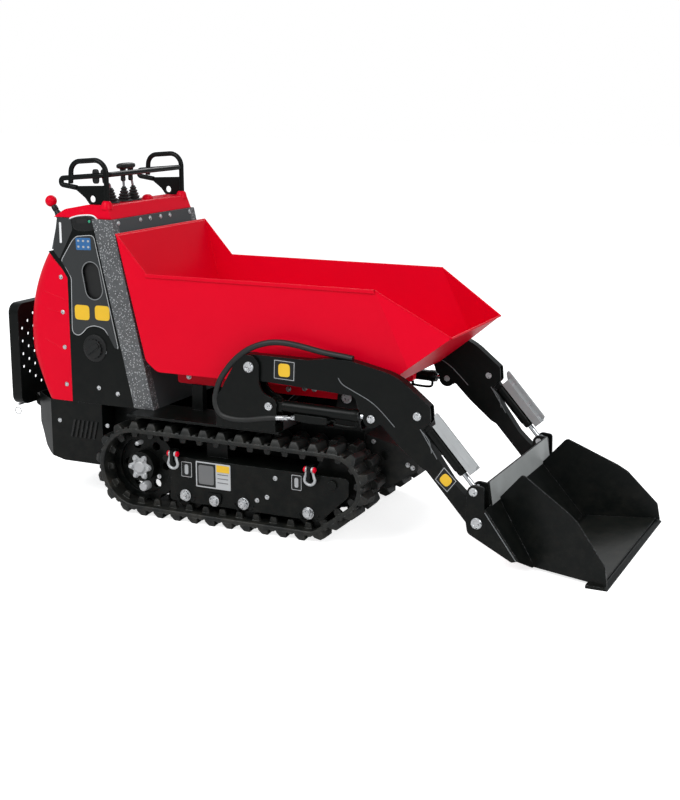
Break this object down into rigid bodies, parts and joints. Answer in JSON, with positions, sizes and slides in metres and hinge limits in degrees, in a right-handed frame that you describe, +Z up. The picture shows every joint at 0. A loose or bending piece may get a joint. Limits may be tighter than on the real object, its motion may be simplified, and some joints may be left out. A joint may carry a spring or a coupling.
{
  "type": "site dumper",
  "caption": "Tracked mini site dumper: a red tipping skip, a self-loading shovel on two arms, rubber tracks, and a rear engine with a folding operator platform.",
  "frame": {"origin": "on the ground, under the centre of the whole machine", "axes": "+X forwards, towards the shovel; +Y to the left; +Z up"},
  "size_m": [2.544, 0.8176, 1.3628],
  "materials": {
    "red_paint": "gloss",
    "red_plastic": "gloss",
    "black_paint": "satin",
    "grey_paint": "satin",
    "light_grey_paint": "satin",
    "rubber": "matte",
    "steel": "satin",
    "chrome": "gloss",
    "black_plastic": "matte",
    "cast_aluminium": "matte"
  },
  "bodies": {
    "chassis": {"track_left": "rubber", "track_right": "rubber", "sprocket_left": "steel", "sprocket_right": "steel", "idler_left": "black_paint", "idler_right": "black_paint", "rollers_left": "black_paint", "rollers_right": "black_paint", "track_frame_left": "black_paint", "track_frame_right": "black_paint", "shackles": "steel", "chassis_side_left": "black_paint", "chassis_side_right": "black_paint", "chassis_belly": "black_paint", "upright_left": "black_paint", "upright_right": "black_paint", "pivot_pins": "steel", "front_cover": "black_plastic", "rear_tray": "black_paint", "engine_block": "cast_aluminium", "hood": "red_paint", "side_panel_left": "black_paint", "side_panel_right": "black_paint", "strut_left": "grey_paint", "strut_right": "grey_paint", "console_front": "grey_paint", "console_back": "red_plastic", "top_cover": "red_paint", "control_levers": "rubber", "knob_lever": "red_plastic", "handle_guard": "black_paint"},
    "arms": {"arm_left": "black_paint", "arm_right": "black_paint", "arm_pins": "steel"},
    "lift_cylinders": {"lift_barrels": "black_paint"},
    "lift_cylinder_rods": {"lift_rods": "chrome"},
    "tilt_cylinders": {"tilt_barrels": "black_paint", "tilt_guards": "light_grey_paint"},
    "tilt_cylinder_rods": {"tilt_rods": "chrome"},
    "bucket": {"bucket_shell": "black_paint", "bucket_brackets": "black_paint", "bucket_pins": "steel", "cutting_edge": "black_paint"},
    "skip": {"skip_tub": "red_paint", "skip_rails": "red_paint", "skip_pins": "steel"},
    "tip_cylinder": {"tip_barrel": "black_paint"},
    "tip_cylinder_rod": {"tip_rod": "chrome"},
    "platform": {"platform": "black_paint"}
  },
  "joints": [
    {"name": "arm_lift", "type": "hinge", "parent": "chassis", "child": "arms", "pos_m": [-0.072, 0, 0.638], "axis": [0, -1, 0], "range_deg": [0, 100]},
    {"name": "bucket_tilt", "type": "hinge", "parent": "arms", "child": "bucket", "pos_m": [0.81, 0, 0.17], "axis": [0, 1, 0], "range_deg": [-25, 60]},
    {"name": "skip_tip", "type": "hinge", "parent": "chassis", "child": "skip", "pos_m": [0.24, 0, 0.518], "axis": [0, 1, 0], "range_deg": [0, 65]},
    {"name": "platform_fold", "type": "hinge", "parent": "chassis", "child": "platform", "pos_m": [-1.205, 0, 0.345], "axis": [0, -1, 0], "range_deg": [0, 90]},
    {"name": "lift_cylinder_swing", "type": "hinge", "parent": "chassis", "child": "lift_cylinders", "pos_m": [0.008, 0, 0.5], "axis": [0, -1, 0], "range_deg": [0, 92.96]},
    {"name": "lift_rod_slide", "type": "slide", "parent": "lift_cylinders", "child": "lift_cylinder_rods", "axis": [0.9998, 0, -0.02], "range_m": [0, 0.23678]},
    {"name": "tilt_cylinder_swing", "type": "hinge", "parent": "arms", "child": "tilt_cylinders", "pos_m": [0.582, 0, 0.52], "axis": [0, -1, 0], "range_deg": [-2.74, 6.52]},
    {"name": "tilt_rod_slide", "type": "slide", "parent": "tilt_cylinders", "child": "tilt_cylinder_rods", "axis": [0.6655, 0, -0.7464], "range_m": [-0.04332, 0.10326]},
    {"name": "tip_cylinder_swing", "type": "hinge", "parent": "chassis", "child": "tip_cylinder", "pos_m": [-0.23, 0, 0.3], "axis": [0, -1, 0], "range_deg": [0, 5.07]},
    {"name": "tip_rod_slide", "type": "slide", "parent": "tip_cylinder", "child": "tip_cylinder_rod", "axis": [0.749, 0, 0.6626], "range_m": [0, 0.22316]}
  ],
  "couplings": [
    {"joint": "lift_cylinder_swing", "follows": "arm_lift", "ratio": 0.92908},
    {"joint": "lift_rod_slide", "follows": "arm_lift", "m_per_rad": 0.13538},
    {"joint": "tilt_cylinder_swing", "follows": "bucket_tilt", "ratio": 0.10779},
    {"joint": "tilt_rod_slide", "follows": "bucket_tilt", "m_per_rad": 0.098128},
    {"joint": "tip_cylinder_swing", "follows": "skip_tip", "ratio": 0.077171},
    {"joint": "tip_rod_slide", "follows": "skip_tip", "m_per_rad": 0.19627}
  ]
}
